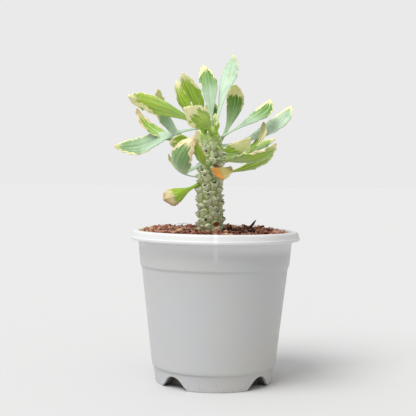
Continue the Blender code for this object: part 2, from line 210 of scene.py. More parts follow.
world = bpy.data.worlds.new("surround")
bpy.context.scene.world = world
world.use_nodes = True
sky = world.node_tree
sky.nodes.clear()
direction = add_node(sky, "ShaderNodeTexCoord").outputs["Generated"]
towards = add_node(sky, "ShaderNodeSeparateXYZ", {"Vector": direction})
glow = calculate(sky, "MULTIPLY", ease(sky, towards.outputs["Z"], 0.0, 0.9, SKY_SIDE, SKY_TOP),
                 ease(sky, towards.outputs["X"], -0.9, 0.9, SKY_LEFT, SKY_RIGHT))
tint = blend_colours(sky, ease(sky, towards.outputs["X"], -0.9, 0.0), SKY_COOL, (1.0, 1.0, 1.0, 1.0))
lighting = add_node(sky, "ShaderNodeBackground", {"Color": tint, "Strength": glow})
surround = add_node(sky, "ShaderNodeBackground", {"Color": BACKDROP, "Strength": 1.0})
seen = add_node(sky, "ShaderNodeLightPath").outputs["Is Camera Ray"]
shown = add_node(sky, "ShaderNodeMixShader", {0: seen, 1: lighting.outputs[0], 2: surround.outputs[0]})
add_node(sky, "ShaderNodeOutputWorld", {"Surface": shown.outputs[0]})

# ------------------------------------------------------------------ pot
# One injection-moulded polypropylene nursery pot: thin tapered wall, turned-down rim, a step that
# lets pots nest, and a raised floor whose four drain arches open through the foot.

POT_STEPS = 192
WALL = 1.3 * MM
BASE_RADIUS = 37.7 * MM
FLOOR_TOP = 11.5 * MM
ARCH_COUNT = 4
ARCH_TURN = math.radians(-41.5)
ARCH_HALF_WIDTH = 9.0 * MM
ARCH_CUT_WIDTH = 8.0 * MM
ARCH_FLARE = 0.32
ARCH_HEIGHT = 8.0 * MM
ARCH_INNER_END = 30.0 * MM
DRAIN_RADIUS = 3.0 * MM
# painted light and shade: rim and wall are one white plastic, the rim painted lighter as lit from above and
# the wall painted darker as shaded; the wall's cool and warm tints drift at random
RIM_PAINTED_LIGHT = (0.65, 0.65, 0.642, 1.0)
WALL_SHADED_COOL = (0.495, 0.50, 0.505, 1.0)
WALL_SHADED_WARM = (0.51, 0.505, 0.485, 1.0)
# painted light: a lighter colour for the band of wall just under the rim
WALL_UNDER_RIM_LIGHT = (0.80, 0.80, 0.805, 1.0)
SOIL_STAIN = paint(150, 120, 98)
# painted shade: a dark colour for the inside of the foot, under the raised floor
UNDER_FOOT_SHADE = paint(74, 66, 58)

# radius, height and corner rounding in millimetres, from the floor's middle round to its underside
POT_CORNERS = (
    (0, 11.5, 0), (37.0, 11.5, 1.0), (39.4, 13.3, 1.5), (46.3, 73.6, 1.0), (47.2, 75.6, 1.0),
    (48.9, 96.5, 0.8), (49.8, 98.1, 0.6), (53.0, 98.1, 0.9), (53.85, 97.3, 0.8), (54.55, 94.2, 0.5),
    (55.0, 93.8, 0.3), (55.0, 92.7, 0.4), (54.7, 92.2, 0.2), (53.9, 92.2, 0.3), (52.6, 96.6, 0.5),
    (50.2, 96.6, 0.5), (50.0, 91.0, 0), (48.5, 75.7, 0.3), (47.55, 74.1, 0.5), (44.1, 44.0, 0),
    (40.5, 12.6, 0.6), (40.1, 10.9, 0.35), (39.15, 10.2, 0.35), (38.0, 0.6, 0.3), (37.7, 0, 0.2),
    (36.4, 0, 0.2), (36.9, 9.1, 0.4), (36.3, 9.7, 0.4), (0, 9.7, 0))


def rounded_line(corners, steps=3):
    """Points through the corners, each corner eased over its own rounding length."""
    line = []
    for number, (x, z, rounding) in enumerate(corners):
        corner = Vector((x, z)) * MM
        if rounding == 0:
            line.append(corner)
            continue
        before = Vector(corners[number - 1][:2]) * MM - corner
        after = Vector(corners[number + 1][:2]) * MM - corner
        reach = min(rounding * MM, 0.45 * before.length, 0.45 * after.length)
        start = corner + before.normalized() * reach
        end = corner + after.normalized() * reach
        for step in range(steps + 1):
            part = step / steps
            line.append(start * (1 - part) ** 2 + corner * 2 * part * (1 - part) + end * part ** 2)
    return line


def turned(line, steps):
    """A closed body turned round the upright axis from a line that starts and ends on it."""
    body = bmesh.new()
    points = [body.verts.new((place.x, 0.0, place.y)) for place in line]
    edges = [body.edges.new(pair) for pair in zip(points, points[1:])]
    bmesh.ops.spin(body, geom=points + edges, cent=(0, 0, 0), axis=(0, 0, 1), dvec=(0, 0, 0),
                   angle=math.tau, steps=steps, use_merge=True, use_duplicate=False)
    bmesh.ops.remove_doubles(body, verts=body.verts, dist=0.004 * MM)
    bmesh.ops.recalc_face_normals(body, faces=body.faces)
    return body


def make_piece(name, body, materials):
    """Turns a finished bmesh into an object at the origin with its materials."""
    mesh = bpy.data.meshes.new(name)
    body.to_mesh(mesh)
    body.free()
    for material in materials:
        mesh.materials.append(material)
    piece = bpy.data.objects.new(name, mesh)
    bpy.context.scene.collection.objects.link(piece)
    return piece


def smooth_shade(piece, angle=None):
    """Smooth shading, broken where two faces meet at more than the angle."""
    piece.data.shade_smooth()
    if angle is not None:
        piece.data.set_sharp_from_angle(angle=angle)


def add_arch(body, half_width, height, start, end, angle, flare=0.0):
    """A half-round bar lying along a radius of the pot, flared like a bell towards its flat side."""
    verts = bmesh.ops.create_cone(body, cap_ends=True, segments=96, radius1=1.0, radius2=1.0,
                                  depth=end - start)["verts"]
    bmesh.ops.rotate(body, cent=(0, 0, 0), matrix=Matrix.Rotation(math.pi / 2, 3, "Y"), verts=verts)
    for vertex in verts:
        vertex.co.y *= 1.0 + flare * math.exp(-(max(0.0, vertex.co.z) / 0.30) ** 2)
    bmesh.ops.scale(body, vec=(1.0, half_width, height), verts=verts)
    bmesh.ops.translate(body, vec=((start + end) / 2, 0, 0), verts=verts)
    bmesh.ops.rotate(body, cent=(0, 0, 0), matrix=Matrix.Rotation(angle, 3, "Z"), verts=verts)


def apply_changes(piece):
    """Leaves the piece with the mesh that its modifiers make, and removes the tool objects."""
    bpy.context.view_layer.update()
    tools = [change.object for change in piece.modifiers if change.type == "BOOLEAN"]
    shaped = bpy.data.meshes.new_from_object(piece.evaluated_get(bpy.context.evaluated_depsgraph_get()))
    piece.modifiers.clear()
    piece.data = shaped
    for tool in tools:
        bpy.data.objects.remove(tool, do_unlink=True)


def cut_with(piece, name, body, operation):
    """A Boolean between the piece and a tool body, worked out exactly."""
    tool = make_piece(name, body, [])
    change = piece.modifiers.new(name, "BOOLEAN")
    change.operation = operation
    change.solver = "EXACT"
    change.object = tool


pot_material, tree, shader = new_material("white_polypropylene")
place = add_node(tree, "ShaderNodeTexCoord").outputs["Object"]
centred = add_node(tree, "ShaderNodeMapping", {"Vector": place, "Location": (-POT_X, 0.0, 0.0)}).outputs[0]
axes = add_node(tree, "ShaderNodeSeparateXYZ", {"Vector": centred})
cloud = grain_at(tree, centred, 22.0, 3.0)
drift = blend_colours(tree, ease(tree, cloud, 0.35, 0.65), WALL_SHADED_COOL, WALL_SHADED_WARM)
# painted light: the wall is painted lighter from 83 mm up to the rim's lower edge, offsetting the shade
# under the rim
free = blend_colours(tree, ease(tree, axes.outputs["Z"], 0.083, 0.0922), drift, WALL_UNDER_RIM_LIGHT)
# painted light: everything above the rim's lower edge takes the lighter rim colour
below_rim = ease(tree, axes.outputs["Z"], 0.0922, 0.0930, 1.0, 0.0)
plastic = blend_colours(tree, below_rim, RIM_PAINTED_LIGHT, free)
seam = ease(tree, calculate(tree, "ABSOLUTE", axes.outputs["X"]), 0.0001, 0.0006, 1.0, 0.0)
# painted highlight: a soft white streak on the upper wall along the mould line at x = 0, front and back, as
# a reflection on it
mould_line_highlight = calculate(tree, "MULTIPLY", ease(tree, axes.outputs["Z"], 0.078, 0.090),
                       ease(tree, calculate(tree, "ABSOLUTE", axes.outputs["X"]), 0.0003, 0.0020, 0.45, 0.0))
plastic = blend_colours(tree, mould_line_highlight, plastic, (0.85, 0.85, 0.85, 1.0))
speck = grain_at(tree, centred, 900.0, 4.0)
inside = calculate(tree, "POWER",
                   calculate(tree, "ADD", calculate(tree, "POWER", axes.outputs["X"], 2.0),
                             calculate(tree, "POWER", axes.outputs["Y"], 2.0)), 0.5)
near_soil = ease(tree, inside, 0.0495, 0.0515, 1.0, 0.0)
high_up = ease(tree, axes.outputs["Z"], 0.090, 0.096)
stain = calculate(tree, "MULTIPLY", calculate(tree, "MULTIPLY", near_soil, high_up),
                  ease(tree, speck, 0.45, 0.62))
dusty = blend_colours(tree, calculate(tree, "MULTIPLY", stain, 0.6), plastic, SOIL_STAIN)
foot_dust = calculate(tree, "MULTIPLY", ease(tree, axes.outputs["Z"], 0.0, 0.012, 1.0, 0.0),
                      ease(tree, speck, 0.5, 0.75))
dusty = blend_colours(tree, calculate(tree, "MULTIPLY", foot_dust, 0.35), dusty, SOIL_STAIN)
# painted shade: the inside of the foot below the raised floor is painted dark, as the shadow in the drain
# arches
under_foot_shade = calculate(tree, "MULTIPLY", ease(tree, inside, 0.0362, 0.0368, 1.0, 0.0),
                       ease(tree, axes.outputs["Z"], 0.0092, 0.0100, 0.85, 0.0))
tree.links.new(blend_colours(tree, under_foot_shade, dusty, UNDER_FOOT_SHADE), shader.inputs["Base Color"])
scuff = grain_at(tree, centred, 160.0, 5.0)
tree.links.new(ease(tree, scuff, 0.35, 0.7, 0.34, 0.48), shader.inputs["Roughness"])
peel = grain_at(tree, centred, 420.0, 2.0)
relief = calculate(tree, "ADD", calculate(tree, "MULTIPLY", peel, 0.25), seam)
add_relief(tree, shader, relief, 0.35, 0.0001)

pot = make_piece("pot_shell", turned(rounded_line(POT_CORNERS), POT_STEPS), [pot_material])
ribs, arches, drains = bmesh.new(), bmesh.new(), bmesh.new()
for number in range(ARCH_COUNT):
    angle = ARCH_TURN + number * math.tau / ARCH_COUNT
    add_arch(ribs, ARCH_HALF_WIDTH + WALL, ARCH_HEIGHT + 1.6 * WALL, ARCH_INNER_END - WALL,
             BASE_RADIUS - WALL / 2, angle)
    add_arch(arches, ARCH_CUT_WIDTH, ARCH_HEIGHT, ARCH_INNER_END, BASE_RADIUS + 8 * MM, angle, ARCH_FLARE)
    hole = bmesh.ops.create_cone(drains, cap_ends=True, segments=32, radius1=DRAIN_RADIUS,
                                 radius2=DRAIN_RADIUS, depth=12 * MM)
    reach = ARCH_INNER_END + DRAIN_RADIUS + 0.6 * MM
    bmesh.ops.translate(drains, vec=(math.cos(angle) * reach, math.sin(angle) * reach, FLOOR_TOP),
                        verts=hole["verts"])
trim = bmesh.ops.bisect_plane(ribs, geom=ribs.verts[:] + ribs.edges[:] + ribs.faces[:],
                              plane_co=(0, 0, 0.5 * MM), plane_no=(0, 0, 1), clear_inner=True)
rim_edges = [item for item in trim["geom_cut"] if isinstance(item, bmesh.types.BMEdge)]
bmesh.ops.holes_fill(ribs, edges=rim_edges, sides=0)
bmesh.ops.recalc_face_normals(ribs, faces=ribs.faces)
cut_with(pot, "ribs", ribs, "UNION")
cut_with(pot, "arches", arches, "DIFFERENCE")
cut_with(pot, "drains", drains, "DIFFERENCE")
apply_changes(pot)
pot.data.transform(Matrix.Translation((POT_X, 0, 0)))
smooth_shade(pot, math.radians(32))
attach(pot, "root")
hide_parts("pot")

# ------------------------------------------------------------------ potting mix
# Ground bark and coir, poured in and firmed by hand, heaped a little round the stem. The bed is the
# firmed body of it; loose crumbs and fibres of the same stuff lie on top.

SOIL_TOP = 96.2 * MM
SOIL_REACH = 48.3 * MM
SOIL_RINGS = 64
SOIL_STEPS = 180
STEM_FOOT = 71.2 * MM
STEM_FOOT_X = -3.0 * MM
BARK_DARK = paint(48, 27, 22)
BARK_RED = paint(132, 76, 55)
BARK_PINK = paint(190, 144, 126)
BARK_STRAW = paint(218, 186, 134)


def mound(x, y):
    """Height of the firmed bed at a place measured from the pot's axis."""
    reach = min(1.0, math.hypot(x, y) / (47 * MM))
    ripple = noise.noise(Vector((x, y, 0.0)) / (9 * MM))
    return SOIL_TOP + (1.2 * (1 - reach ** 2) + 1.8 * y / (47 * MM) + 0.5 * ripple * (1 - reach ** 4)) * MM


def bark_group():
    """Shared bark colouring: a tone from 0 dark to 1 straw becomes a mottled colour and a fine relief."""
    group = bpy.data.node_groups.new("bark_grain", "ShaderNodeTree")
    for name, kind in (("Place", "NodeSocketVector"), ("Tone", "NodeSocketFloat")):
        group.interface.new_socket(name, in_out="INPUT", socket_type=kind)
    for name, kind in (("Colour", "NodeSocketColor"), ("Relief", "NodeSocketFloat")):
        group.interface.new_socket(name, in_out="OUTPUT", socket_type=kind)
    given = add_node(group, "NodeGroupInput")
    coarse = grain_at(group, given.outputs["Place"], 700.0, 4.0, 0.65)
    fibre = grain_at(group, given.outputs["Place"], 2600.0, 2.0)
    shifted = calculate(group, "ADD", given.outputs["Tone"],
                        calculate(group, "MULTIPLY_ADD", coarse, 0.5, -0.25))
    ramp = add_node(group, "ShaderNodeValToRGB", {"Fac": shifted})
    ramp.color_ramp.elements[0].position = 0.05
    ramp.color_ramp.elements[0].color = BARK_DARK
    ramp.color_ramp.elements[1].position = 0.98
    ramp.color_ramp.elements[1].color = BARK_STRAW
    for position, colour in ((0.42, BARK_RED), (0.78, BARK_PINK)):
        ramp.color_ramp.elements.new(position).color = colour
    relief = calculate(group, "ADD", coarse,
                       calculate(group, "MULTIPLY", fibre, 0.4))
    add_node(group, "NodeGroupOutput", {"Colour": ramp.outputs["Color"], "Relief": relief})
    return group


def bark_material(name, tone):
    """Bark with its tone given as a number, or read from the piece's own tone attribute."""
    material, tree, shader = new_material(name)
    place = add_node(tree, "ShaderNodeTexCoord").outputs["Object"]
    if tone is None:
        tone = add_node(tree, "ShaderNodeAttribute", attribute_name="tone").outputs["Fac"]
    grain = add_node(tree, "ShaderNodeGroup", node_tree=BARK_GRAIN)
    tree.links.new(place, grain.inputs["Place"])
    if isinstance(tone, bpy.types.NodeSocket):
        tree.links.new(tone, grain.inputs["Tone"])
    else:
        grain.inputs["Tone"].default_value = tone
    tree.links.new(grain.outputs["Colour"], shader.inputs["Base Color"])
    shader.inputs["Roughness"].default_value = 0.88
    shader.inputs["Specular IOR Level"].default_value = 0.25
    add_relief(tree, shader, grain.outputs["Relief"], 0.8, 0.0004)
    return material


BARK_GRAIN = bark_group()
bed_material = bark_material("packed_mix", 0.28)

bed_line = [Vector((ring / SOIL_RINGS * SOIL_REACH, SOIL_TOP)) for ring in range(SOIL_RINGS + 1)]
for radius, height in ((46.8, 76.7), (45.9, 74.6), (38.9, 13.6), (36.5, 11.8), (0, 11.8)):
    bed_line.append(Vector((radius, height)) * MM)
bed = turned(bed_line, SOIL_STEPS)
for vertex in bed.verts:
    if vertex.co.z > SOIL_TOP - 0.1 * MM:
        x, y = vertex.co.x, vertex.co.y
        rough = noise.fractal(Vector((x, y, 0.3)) / (2.6 * MM), 0.7, 2.2, 4)
        vertex.co.z = mound(x, y) + 0.55 * rough * MM
soil_bed = make_piece("potting_mix_bed", bed, [bed_material])
soil_bed.data.transform(Matrix.Translation((POT_X, 0, 0)))
smooth_shade(soil_bed, math.radians(50))
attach(soil_bed, "root")
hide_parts("soil")

# ------------------------------------------------------------------ crumbs and coir fibres
# Loose bark crumbs, chipped to random slabs a few millimetres long, and short coir fibres, scattered
# over the bed and left where they fell. The crumbs are one piece and the fibres another, each with
# the tone of every crumb or fibre kept on it.

CRUMB_COUNT = 1500
FIBRE_COUNT = 160
CRUMB_REACH = 47.2 * MM
STEM_CLEAR = 8.6 * MM
FIBRE_STEPS = 5

chance = random.Random(11)


def many_copies(body, count):
    """Repeats the one shape in the body until it holds count of them, each a run of equal length."""
    size, copies = len(body.verts), 1
    while copies < count:
        extra = min(copies, count - copies)
        body.verts.index_update()
        some = [vertex for vertex in body.verts if vertex.index < extra * size]
        edges = {edge for vertex in some for edge in vertex.link_edges}
        faces = {face for vertex in some for face in vertex.link_faces}
        bmesh.ops.duplicate(body, geom=some + list(edges) + list(faces))
        copies += extra
    verts = list(body.verts)
    return [verts[number * size:(number + 1) * size] for number in range(count)]


def scatter_place():
    """A random place on the bed, clear of the stem."""
    while True:
        x, y = chance.uniform(-1, 1) * CRUMB_REACH, chance.uniform(-1, 1) * CRUMB_REACH
        if math.hypot(x, y) < CRUMB_REACH and math.hypot(x - STEM_FOOT_X, y) > STEM_CLEAR:
            return x, y


def random_turn():
    axis = Vector((chance.gauss(0, 1), chance.gauss(0, 1), chance.gauss(0, 2))).normalized()
    return Matrix.Rotation(chance.uniform(0, math.tau), 3, axis)


crumbs = bmesh.new()
bmesh.ops.create_icosphere(crumbs, subdivisions=1, radius=0.5)
tone_layer = crumbs.verts.layers.float.new("tone")
for verts in many_copies(crumbs, CRUMB_COUNT):
    x, y = scatter_place()
    size = 0.9 + 3.1 * chance.random() ** 2.6
    slab = Matrix.Diagonal((size * chance.uniform(0.9, 1.5) * MM, size * chance.uniform(0.6, 1.0) * MM,
                            size * chance.uniform(0.3, 0.65) * MM))
    lift = mound(x, y) + (chance.uniform(-0.1, 0.45) * size + 0.3) * MM
    lift += 0.9 * MM * max(0.0, chance.gauss(0, 0.6)) * max(0.0, 1 - math.hypot(x, y) / (52 * MM))
    turn_slab = random_turn() @ slab
    patch = noise.noise(Vector((x, y, 7.0)) / (13 * MM))
    straw = 0.34 * (math.hypot(x, y) / CRUMB_REACH) ** 4
    clump = 0.95 * math.exp(-((x - 15 * MM) ** 2 + (y + 6 * MM) ** 2) / (8.0 * MM) ** 2)
    tone = 0.47 + 0.24 * patch + straw - clump + chance.gauss(0, 0.19)
    for vertex in verts:
        vertex.co = turn_slab @ (vertex.co * chance.uniform(0.75, 1.2)) + Vector((x, y, lift))
        vertex[tone_layer] = tone

fibres = bmesh.new()
bmesh.ops.create_cone(fibres, cap_ends=True, segments=5, radius1=1.0, radius2=0.5, depth=1.0)
long_edges = [edge for edge in fibres.edges if abs(edge.verts[0].co.z - edge.verts[1].co.z) > 0.5]
bmesh.ops.subdivide_edges(fibres, edges=long_edges, cuts=FIBRE_STEPS)
tone_layer = fibres.verts.layers.float.new("tone")
for verts in many_copies(fibres, FIBRE_COUNT):
    x, y = scatter_place()
    heading = chance.uniform(0, math.tau)
    length = chance.uniform(2.5, 8.0) * MM
    thick = chance.uniform(0.10, 0.24) * MM
    bow = chance.uniform(-0.9, 0.9)
    tone = 0.55 + chance.gauss(0, 0.2)
    for vertex in verts:
        along = vertex.co.z * length
        turn = heading + bow * vertex.co.z
        arch = 0.25 * length * (1 - (2 * vertex.co.z) ** 2)
        px = x + along * math.cos(turn) + vertex.co.x * thick * math.sin(heading)
        py = y + along * math.sin(turn) - vertex.co.x * thick * math.cos(heading)
        vertex.co = (px, py, mound(px, py) + 0.9 * MM + arch + vertex.co.y * thick)
        vertex[tone_layer] = tone

crumb_material = bark_material("loose_bark", None)
for name, body in (("potting_mix_crumbs", crumbs), ("potting_mix_fibres", fibres)):
    piece = make_piece(name, body, [crumb_material])
    piece.data.transform(Matrix.Translation((POT_X, 0, 0)))
    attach(piece, "root")

# ------------------------------------------------------------------ bark chips
# Four larger chips of pine bark, split along the grain and lying on the mix. Each is a broken slab
# with flat faces and chipped corners.

# node, distance and angle from the pot's axis, length, width, thickness, turn, tone
BARK_CHIPS = (
    ("bark_chip_dark", 24, -36, 11, 7, 3.2, 20, 0.05),
    ("bark_chip_long", 34, 15, 13, 5, 2.4, 70, 0.22),
    ("bark_chip_left", 36, 205, 10, 6, 2.6, -30, 0.62),
    ("bark_chip_far", 30, 100, 12, 6, 2.8, 10, 0.35),
)

for node, reach, angle, length, width, thick, turn, tone in BARK_CHIPS:
    x = reach * MM * math.cos(math.radians(angle))
    y = reach * MM * math.sin(math.radians(angle))
    chip = bmesh.new()
    bmesh.ops.create_icosphere(chip, subdivisions=4, radius=0.5)
    for vertex in chip.verts:
        flat = Vector([math.copysign(abs(2 * value) ** power, value)
                       for value, power in zip(vertex.co, (0.6, 0.6, 0.5))])
        rough = 1.0 + 0.25 * noise.noise(vertex.co * 4.4 + Vector((reach, angle, 0)))
        layers = 0.10 * noise.noise(Vector((flat.x * 0.8, flat.y * 2.5, flat.z * 6 + reach)))
        pits = 0.05 * noise.fractal(flat * 5.0, 0.8, 2.0, 3)
        vertex.co = flat * (rough + layers + pits) / 2
    bmesh.ops.scale(chip, vec=(length * MM, width * MM, thick * MM), verts=chip.verts)
    bmesh.ops.rotate(chip, cent=(0, 0, 0), matrix=Matrix.Rotation(math.radians(turn), 3, "Z"),
                     verts=chip.verts)
    low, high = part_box(node)
    bmesh.ops.translate(chip, vec=(POT_X + x, y, (low.z + high.z) / 2 - 0.6 * MM), verts=chip.verts)
    piece = make_piece(f"{node}_slab", chip, [bark_material(f"{node}_bark", tone)])
    smooth_shade(piece, math.radians(28))
    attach(piece, "root")
    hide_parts(node)

# ------------------------------------------------------------------ twig
# One short black twig that leans up out of the mix, tapered, with a kink and a broken end.

TWIG_POINTS = ((0, 0, -1.5, 0.85), (1.8, 0.9, 0.6, 0.9), (3.2, 0.9, 2.2, 0.75), (4.3, 1.5, 3.4, 0.95),
               (5.2, 1.9, 4.6, 0.6), (6.3, 2.2, 6.2, 0.25))

twig_low, twig_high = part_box("twig")
twig = bmesh.new()
centres = [Vector(point[:3]) * MM for point in TWIG_POINTS]
ring = None
for number, (centre, point) in enumerate(zip(centres, TWIG_POINTS)):
    ahead = centres[min(number + 1, len(centres) - 1)] - centres[max(number - 1, 0)]
    made = bmesh.ops.create_circle(twig, segments=10, radius=point[3] * MM, cap_ends=False)["verts"]
    for vertex in made:
        vertex.co *= 1 + 0.22 * noise.noise(vertex.co * 2500 + Vector((0, 0, number)))
    bmesh.ops.rotate(twig, cent=(0, 0, 0), matrix=ahead.to_track_quat("Z", "Y").to_matrix(), verts=made)
    bmesh.ops.translate(twig, vec=centre, verts=made)
    new_ring = list({edge for vertex in made for edge in vertex.link_edges})
    if ring:
        bmesh.ops.bridge_loops(twig, edges=ring + new_ring)
    ring = new_ring
bmesh.ops.holes_fill(twig, edges=[edge for edge in twig.edges if edge.is_boundary], sides=0)
bmesh.ops.recalc_face_normals(twig, faces=twig.faces)
bmesh.ops.translate(twig, vec=(twig_low.x + 0.6 * MM, twig_low.y + 0.9 * MM, twig_low.z), verts=twig.verts)
twig_piece = make_piece("twig_stick", twig, [bark_material("black_twig", -0.1)])
round_off = twig_piece.modifiers.new("round_off", "SUBSURF")
round_off.levels = 2
round_off.render_levels = 2
smooth_shade(twig_piece)
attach(twig_piece, "root")
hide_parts("twig")

# ------------------------------------------------------------------ stem
# The succulent trunk: a green core clad in shingled tubercles on a golden-angle spiral. Each keeps
# the dark scar of the leaf that fell from its tip, and a pale waxy bloom lies on its high parts.

# height above the floor with sideways lean of the centre, and with core radius, in millimetres
STEM_LEAN = ((71, -3.0), (95, -3.0), (110, -3.6), (125, -4.0), (140, -3.2), (150, -2.4), (166, -2.2))
STEM_CORE = ((71, 5.5), (84, 8.2), (95, 8.3), (110, 7.7), (140, 7.6), (150, 6.9), (158, 5.9), (166, 3.0))
STEM_APEX = 166.0 * MM
STEM_RINGS = 380
STEM_SIDES = 200
GOLDEN_ANGLE = math.radians(137.5)
TUBERCLE_PITCH = 0.75 * MM
TUBERCLE_HEIGHT = 4.0 * MM
TUBERCLE_HALF_WIDTH = 5.6
TUBERCLE_ABOVE = 1.9
TUBERCLE_BELOW = 6.6
SCAR_SIZE = 0.42
# wide old scars: angle in degrees, height and radius in millimetres, then how rusty each one is
OLD_SCARS = ((-63, 102.2, 2.7, 0.55), (-112, 105.2, 1.5, 0.0), (20, 148.0, 1.3, 0.0),
             (-128, 149.5, 1.3, 0.0), (-18, 138.0, 1.8, 0.0), (-96, 121.5, 0.9, 0.3), (-60, 114.0, 0.8, 0.3))


def along_stem(table, height):
    """Value at a height, in metres, read between the rows of a table in millimetres."""
    rows = np.array(table)
    return np.interp(height / MM, rows[:, 0], rows[:, 1]) * MM


stem = bmesh.new()
bmesh.ops.create_uvsphere(stem, u_segments=STEM_SIDES, v_segments=STEM_RINGS, radius=1.0)
where = np.array([vertex.co[:] for vertex in stem.verts])
level = 1.0 - np.arccos(np.clip(where[:, 2], -1, 1)) / math.pi
angle = np.arctan2(where[:, 1], where[:, 0])
axis_gap = np.hypot(where[:, 0], where[:, 1])
height = STEM_FOOT + (STEM_APEX - STEM_FOOT) * level
core = along_stem(STEM_CORE, height) - 1.0 * MM
spread = [Vector((math.cos(a) * 2.2, math.sin(a) * 2.2, h / (5 * MM))) for a, h in zip(angle, height)]
wander = np.array([noise.noise(place) for place in spread])
climb = np.array([noise.noise(place + Vector((9, 4, 2))) for place in spread])
best = np.full(len(where), -9.0)
second = np.full(len(where), -9.0)
scar = np.zeros(len(where))
bump_count = int((STEM_APEX - SOIL_TOP) / TUBERCLE_PITCH) + 4
for number in range(-6, bump_count):
    tip_height = SOIL_TOP + number * TUBERCLE_PITCH
    jitter = 0.20 * math.sin(number * 12.9898)
    swell = 1.0 + 0.22 * math.sin(number * 78.233)
    near = np.abs(height - tip_height) < 9 * MM
    aside = angle[near] + 0.22 * wander[near] - number * GOLDEN_ANGLE + jitter
    aside = (aside + math.pi) % math.tau - math.pi
    across = aside * 8.0 / (TUBERCLE_HALF_WIDTH * swell)
    rise = (height[near] - tip_height) / MM + 1.5 * climb[near]
    up = np.where(rise > 0, rise / TUBERCLE_ABOVE, -rise / TUBERCLE_BELOW)
    boss = 1.0 - (np.abs(across) ** 1.35 + np.abs(up) ** 1.25) ** (1 / 1.25)
    held = best[near]
    second[near] = np.maximum(second[near], np.minimum(held, boss))
    best[near] = np.maximum(held, boss)
    worn = 0.5 + 0.5 * math.sin(number * 37.719)
    mark = 1.0 - np.hypot(aside * 8.0 / (3.6 * SCAR_SIZE), (rise - 0.45) / (1.9 * SCAR_SIZE))
    scar[near] = np.maximum(scar[near], np.clip(mark * 2.2, 0, 1) * (0.35 + 0.65 * worn))
fade = np.clip((height - SOIL_TOP + 2 * MM) / (4 * MM), 0, 1)
fade *= np.clip((STEM_APEX - height) / (20 * MM), 0, 1)
lift = np.clip(best, 0, 0.92)
crease = np.clip(1.0 - (best - np.maximum(second, 0.0)) / 0.28, 0, 1) * np.clip(1.2 - lift, 0, 1)
radius = core + (TUBERCLE_HEIGHT * lift ** 1.6 - 0.16 * MM * crease - 0.3 * MM * scar) * fade
patch = np.zeros(len(where))
rust = np.zeros(len(where))
for degrees, mark_height, mark_size, redness in OLD_SCARS:
    aside = (angle - math.radians(degrees) + math.pi) % math.tau - math.pi
    mark = np.clip(1.6 - np.hypot(aside * 8.0, (height / MM - mark_height)) / mark_size * 1.6, 0, 1)
    patch = np.maximum(patch, mark * (1 - redness))
    rust = np.maximum(rust, mark * (1 if redness else 0))
radius -= 0.35 * MM * np.maximum(patch, rust)
close = np.minimum(np.sqrt(level * STEM_RINGS / 20), np.sqrt((1 - level) * STEM_RINGS / 26))
close = np.minimum(1.0, close)
radius = np.where(axis_gap < 1e-5, 0.0, radius * close)
lean = along_stem(STEM_LEAN, height)
layers = {name: stem.verts.layers.float.new(name) for name in ("crease", "scar", "high", "rust")}
for number, vertex in enumerate(stem.verts):
    turn, r = angle[number], radius[number]
    rough = 1 + 0.032 * noise.fractal(Vector((turn * 8, height[number] / MM, 0)) * 0.6, 0.8, 2.1, 4)
    reach = r * rough
    vertex.co = (POT_X + lean[number] + reach * math.cos(turn), reach * math.sin(turn), height[number])
    vertex[layers["crease"]] = crease[number]
    vertex[layers["scar"]] = max(scar[number] * fade[number], patch[number])
    vertex[layers["high"]] = lift[number]
    vertex[layers["rust"]] = rust[number]

STEM_CREASE_SHADE = paint(116, 132, 66)
STEM_BODY = paint(174, 182, 128)
STEM_BLOOM = paint(226, 230, 206)
STEM_YOUNG = paint(160, 186, 88)
STEM_SCAR = paint(62, 56, 32)
STEM_RUST = paint(128, 72, 44)
STEM_CORK = paint(168, 150, 112)

stem_material, tree, shader = new_material("stem_skin")
place = add_node(tree, "ShaderNodeTexCoord").outputs["Object"]
marks = read_marks(tree, "crease scar high rust")
mottle = grain_at(tree, place, 380.0, 4.0, 0.6)
broad = grain_at(tree, place, 110.0, 2.0)
waxy = calculate(tree, "MULTIPLY", ease(tree, marks["high"], 0.1, 0.85),
                 ease(tree, mottle, 0.40, 0.60, 0.15, 1.0))
# painted shade: the creases between the tubercles are painted a darker green
green = blend_colours(tree, ease(tree, marks["crease"], 0.15, 0.9), STEM_BODY, STEM_CREASE_SHADE)
bloomed = blend_colours(tree, waxy, green, STEM_BLOOM)
height_up = add_node(tree, "ShaderNodeSeparateXYZ", {"Vector": place}).outputs["Z"]
corky = calculate(tree, "MULTIPLY", ease(tree, height_up, 0.094, 0.108, 1.0, 0.0),
                  ease(tree, broad, 0.42, 0.6))
barky = blend_colours(tree, calculate(tree, "MULTIPLY", corky, 0.7), bloomed, STEM_CORK)
scarred = blend_colours(tree, ease(tree, marks["scar"], 0.25, 0.8), barky, STEM_SCAR)
scarred = blend_colours(tree, ease(tree, marks["rust"], 0.2, 0.8), scarred, STEM_RUST)
tree.links.new(blend_colours(tree, ease(tree, height_up, 0.151, 0.160, 0.0, 0.85), scarred, STEM_YOUNG),
               shader.inputs["Base Color"])
tree.links.new(ease(tree, waxy, 0.0, 1.0, 0.5, 0.72), shader.inputs["Roughness"])
pores = grain_at(tree, place, 1500.0, 3.0)
add_relief(tree, shader, pores, 0.5, 0.00025)

stem_piece = make_piece("stem_trunk", stem, [stem_material])
smooth_shade(stem_piece)
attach(stem_piece, "root")
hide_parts("stem")
